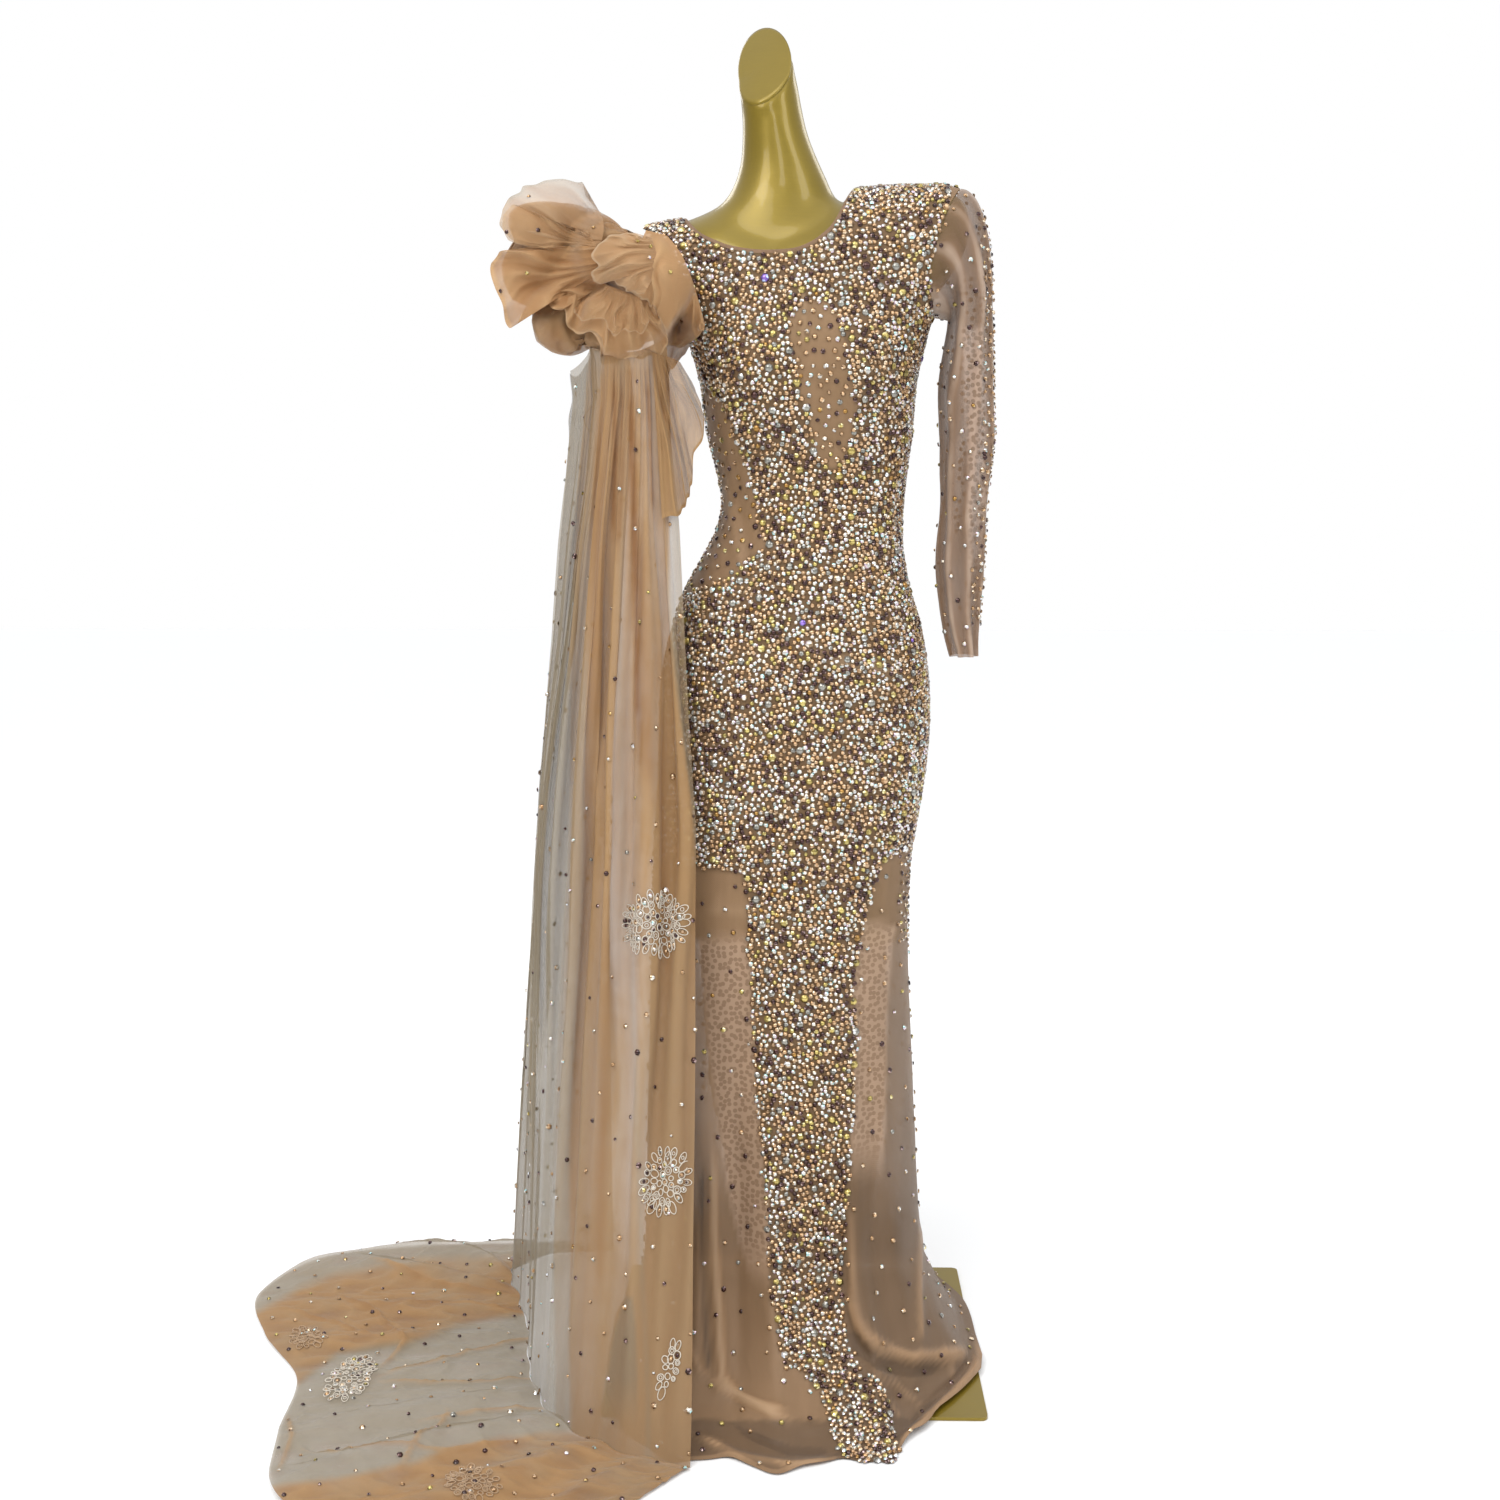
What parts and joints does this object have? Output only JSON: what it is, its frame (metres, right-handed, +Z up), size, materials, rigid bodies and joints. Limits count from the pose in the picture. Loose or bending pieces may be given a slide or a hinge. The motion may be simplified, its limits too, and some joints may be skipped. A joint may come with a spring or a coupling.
{
  "type": "evening gown on dress form",
  "caption": "Fitted floor-length mesh evening gown with one long sleeve, a tulle shoulder puff, cape and train, on a limbless dress form with a square base.",
  "frame": {"origin": "centre of the base plate's underside, on the floor", "axes": "+Z up, the gown's front faces -Y, the wearer's left, with the sleeve, is +X"},
  "size_m": [0.9765, 0.8683, 1.6518],
  "materials": {
    "gold_lacquer": "satin gold lacquer",
    "stoned_mesh": "nude stretch mesh covered with faceted stones",
    "sheer_mesh": "sheer nude stretch mesh with a few stones",
    "tulle": "peach tulle, translucent"
  },
  "bodies": {
    "root": {"form_base": "gold_lacquer", "form_pole": "gold_lacquer", "form_torso": "gold_lacquer", "gown_front": "stoned_mesh", "gown_back": "stoned_mesh", "neck_binding": "sheer_mesh", "sleeve_left": "sheer_mesh", "tulle_puff": "tulle", "cape_front": "tulle", "cape_back": "tulle", "train_floor": "tulle"}
  },
  "joints": []
}
